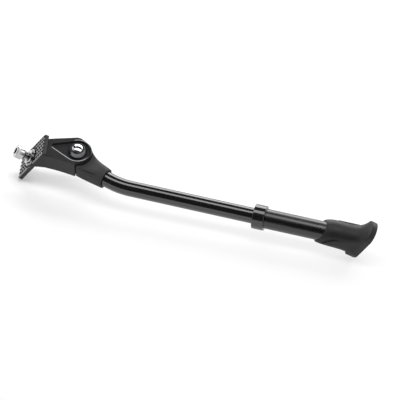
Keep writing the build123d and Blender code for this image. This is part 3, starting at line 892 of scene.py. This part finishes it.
@dataclass
class Studio:
    """White table, two soft boxes, a dark curtain on the camera's side, and the camera. Lengths are metres.

    The table shows a share of plain white over its lit paper, painted light that lightens the stand's
    shadow on it. The share grows from the first table_glow to the second, between the table_fade distances
    along the leg, so that the shadow is lightened more toward the foot. The curtain's span is in degrees
    round the leg.
    """

    aim: Point = (0.0100, 0.0620, -0.1615)
    toward: Vector = field(default_factory=lambda: Vector((0.62, 0.72, 0.315)))
    upward: Vector = field(default_factory=lambda: Vector((-0.772, 0.492, 0.40)))
    view_width: float = 0.4
    lens: float = 1200.0
    sensor: float = 36.0
    sight: float = 100.0
    table_normal: Vector = field(default_factory=lambda: Vector((-0.312, 0.836, 0.452)).normalized())
    table_gap: float = 1.0 * MM
    table_size: float = 4.0
    table_colour: str = "#f2f2f2"
    table_glow: tuple[float, float] = (0.0, 0.65)
    table_fade: tuple[float, float] = (0.0, 0.11)
    world_level: float = 0.38
    white: str = "#ffffff"
    curtain_colour: str = "#1a1a1a"
    curtain_steps: int = 24
    curtain_radius: float = 2.2
    curtain_ends: tuple[float, float] = (-2.5, 1.75)
    curtain_span: tuple[float, float] = (-34.0, 148.0)
    boxes: tuple[SoftBox, ...] = (
        SoftBox("box_over", angle=44.5, distance=1.1, width=0.46, length=1.8, level=3.3),
        SoftBox("box_behind", angle=113.0, distance=1.3, width=0.85, length=2.0, level=4.2),
    )

    def round_leg(self, angle: float) -> Vector:
        """Direction square to the leg, turned up from the camera's side.

        Args:
            angle: degrees from the camera's side toward the top of the picture.

        Returns:
            A unit vector.
        """
        front = (self.toward - LEG_AXIS * self.toward.dot(LEG_AXIS)).normalized()
        top = front.cross(LEG_AXIS).normalized()
        if top.dot(self.upward) < 0:
            top = -top
        return front * math.cos(math.radians(angle)) + top * math.sin(math.radians(angle))

    def build_camera(self) -> None:
        """Set a long lens at the photograph's angle."""
        back = self.toward.normalized()
        top = (self.upward - back * self.upward.dot(back)).normalized()
        side = top.cross(back)
        data = bpy.data.cameras.new("camera")
        data.lens = self.lens
        data.sensor_width = self.sensor
        data.clip_end = self.sight
        camera = bpy.data.objects.new("camera", data)
        distance = self.view_width * self.lens / self.sensor
        turn = Matrix((side, top, back)).transposed().to_4x4()
        camera.matrix_world = Matrix.Translation(Vector(self.aim) + back * distance) @ turn
        bpy.context.scene.collection.objects.link(camera)
        bpy.context.scene.camera = camera

    def seen(self, tree: bpy.types.NodeTree) -> bpy.types.NodeSocket:
        """Whether the camera, a reflection or clear glass looks at a surface.

        Args:
            tree: the node tree to add to.

        Returns:
            Socket that is 1 for such rays and 0 for the rest.
        """
        path = add_node(tree, "ShaderNodeLightPath")
        first = add_node(
            tree, "ShaderNodeMath", {"operation": "MAXIMUM"}, None,
            {0: path.outputs["Is Camera Ray"], 1: path.outputs["Is Glossy Ray"]},
        )
        both = add_node(
            tree, "ShaderNodeMath", {"operation": "MAXIMUM"}, None,
            {0: first.outputs[0], 1: path.outputs["Is Transmission Ray"]},
        )
        return both.outputs[0]

    def build_table(self, corners: Sequence[Vector]) -> None:
        """Lay the white table under the stand, as it lies in the photograph. It shows from its top alone.

        Args:
            corners: points of the stand.
        """
        normal = self.table_normal
        level = min(corner.dot(normal) for corner in corners) - self.table_gap
        centre = Vector(self.aim)
        centre += normal * (level - centre.dot(normal))
        place = Matrix.Translation(centre) @ normal.to_track_quat("Z", "Y").to_matrix().to_4x4()
        half = self.table_size / 2
        sides = ((-1, -1), (1, -1), (1, 1), (-1, 1))
        points = [place @ Vector((x * half, y * half, 0.0)) for x, y in sides]
        mesh = bpy.data.meshes.new("table")
        mesh.from_pydata(points, [], [(0, 1, 2, 3)])
        table = bpy.data.objects.new("table", mesh)
        bpy.context.scene.collection.objects.link(table)
        made = bpy.data.materials.new("white_table")
        made.use_nodes = True
        tree = made.node_tree
        tree.nodes.clear()
        paper = add_node(tree, "ShaderNodeBsdfDiffuse", None, {"Color": srgb(self.table_colour)})
        glow = add_node(tree, "ShaderNodeEmission", None, {"Color": srgb(self.white), "Strength": 1.0})
        spot = add_node(tree, "ShaderNodeNewGeometry")
        along = add_node(
            tree, "ShaderNodeVectorMath", {"operation": "DOT_PRODUCT"},
            {1: LEG_AXIS}, {0: spot.outputs["Position"]},
        )
        # Painted light: the table's plain white share grows along the leg, lightening the stand's shadow
        # toward the foot
        fade = add_node(
            tree, "ShaderNodeMapRange", None,
            {
                "From Min": self.table_fade[0], "From Max": self.table_fade[1],
                "To Min": self.table_glow[0], "To Max": self.table_glow[1],
            },
            {0: along.outputs["Value"]},
        )
        share = add_node(
            tree, "ShaderNodeMath", {"operation": "MULTIPLY"}, None,
            {0: self.seen(tree), 1: fade.outputs[0]},
        )
        lit = add_node(
            tree, "ShaderNodeMixShader", None, None,
            {0: share.outputs[0], 1: paper.outputs[0], 2: glow.outputs[0]},
        )
        clear = add_node(tree, "ShaderNodeBsdfTransparent")
        surface = add_node(
            tree, "ShaderNodeMixShader", None, None,
            {0: spot.outputs["Backfacing"], 1: lit.outputs[0], 2: clear.outputs[0]},
        )
        add_node(tree, "ShaderNodeOutputMaterial", None, None, {"Surface": surface.outputs[0]})
        mesh.materials.append(made)

    def build_curtain(self) -> None:
        """Hang a dark curtain round the camera's side, which only reflections see."""
        steps = self.curtain_steps
        first, last = self.curtain_span
        points = []
        for i in range(steps + 1):
            out = self.round_leg(first + (last - first) * i / steps) * self.curtain_radius
            points += [Vector(self.aim) + out + LEG_AXIS * end for end in self.curtain_ends]
        faces = [(2 * i, 2 * i + 1, 2 * i + 3, 2 * i + 2) for i in range(steps)]
        mesh = bpy.data.meshes.new("curtain")
        mesh.from_pydata(points, [], faces)
        made = bpy.data.materials.new("dark_curtain")
        made.use_nodes = True
        cloth = made.node_tree.nodes["Principled BSDF"]
        cloth.inputs["Base Color"].default_value = srgb(self.curtain_colour)
        cloth.inputs["Roughness"].default_value = 1.0
        mesh.materials.append(made)
        curtain = bpy.data.objects.new("curtain", mesh)
        bpy.context.scene.collection.objects.link(curtain)
        curtain.visible_camera = False
        curtain.visible_diffuse = False
        curtain.visible_shadow = False
        curtain.visible_transmission = False

    def build_lamps(self) -> None:
        """Hang a box over the table and a low one behind it."""
        for box in self.boxes:
            data = bpy.data.lights.new(box.name, "AREA")
            data.shape = "RECTANGLE"
            data.size = box.width
            data.size_y = box.length
            data.energy = box.level * math.pi * box.width * box.length
            lamp = bpy.data.objects.new(box.name, data)
            out = self.round_leg(box.angle)
            across = LEG_AXIS.cross(out).normalized()
            turn = Matrix((across, LEG_AXIS, out)).transposed().to_4x4()
            lamp.matrix_world = Matrix.Translation(Vector(self.aim) + out * box.distance) @ turn
            lamp.visible_camera = False
            bpy.context.scene.collection.objects.link(lamp)

    def build_world(self) -> None:
        """Light the room dimly and evenly, and show it white."""
        world = bpy.data.worlds.new("room")
        bpy.context.scene.world = world
        world.use_nodes = True
        tree = world.node_tree
        tree.nodes.clear()
        colour = srgb(self.white)
        dim = add_node(tree, "ShaderNodeBackground", None, {"Color": colour, "Strength": self.world_level})
        full = add_node(tree, "ShaderNodeBackground", None, {"Color": colour, "Strength": 1.0})
        both = add_node(
            tree, "ShaderNodeMixShader", None, None,
            {0: self.seen(tree), 1: dim.outputs[0], 2: full.outputs[0]},
        )
        add_node(tree, "ShaderNodeOutputWorld", None, None, {"Surface": both.outputs[0]})

    def build(self, corners: Sequence[Vector]) -> None:
        """Set up the whole studio.

        Args:
            corners: points of the stand, which the table lies under.
        """
        bpy.context.scene.view_settings.view_transform = "Standard"
        self.build_camera()
        self.build_table(corners)
        self.build_curtain()
        self.build_lamps()
        self.build_world()
        LOG.info("studio: camera, table, curtain and lamps")


def main() -> None:
    """Load the solids, dress them and build the studio."""
    logging.basicConfig(level=logging.INFO, format="%(name)s: %(message)s")
    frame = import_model()
    nodes = frame["nodes"]
    made: dict[str, bpy.types.Material] = {}
    head = HingeHead(
        "bracket",
        {
            "head_body": COATED_CASTING,
            "mount_bolt": ZINC_PLATE,
            "mount_flat_washer": ZINC_PLATE,
            "mount_spring_washer": ZINC_PLATE,
            "pivot_bolt": POLISHED_CHROME,
            "pivot_collar": BLACK_OXIDE,
            "pivot_sleeve": OILED_STEEL,
            "outer_thrust_washer": OILED_STEEL,
            "inner_thrust_washer": OILED_STEEL,
            "pivot_inner_washer": ZINC_PLATE,
            "pivot_nut": ZINC_PLATE,
            "detent_plunger": OILED_STEEL,
            "detent_spring": OILED_STEEL,
        },
    )
    leg = SubAssembly(
        "leg", {"leg_knuckle": MATT_CASTING, "tube_set_screw": BLACK_OXIDE, "upper_tube": GLOSS_ENAMEL}
    )
    extension = SubAssembly(
        "extension",
        {
            "lower_tube": BLACK_ANODISING,
            "clamp_collar": BAND_ENAMEL,
            "collar_screw": BLACK_OXIDE,
            "foot": MOULDED_NYLON,
        },
    )
    for assembly in (head, leg, extension):
        assembly.dress(nodes, made)
    head.build(made)
    Studio().build([vertex.co for node in nodes.values() for vertex in node.data.vertices])


if __name__ == "__main__":
    main()
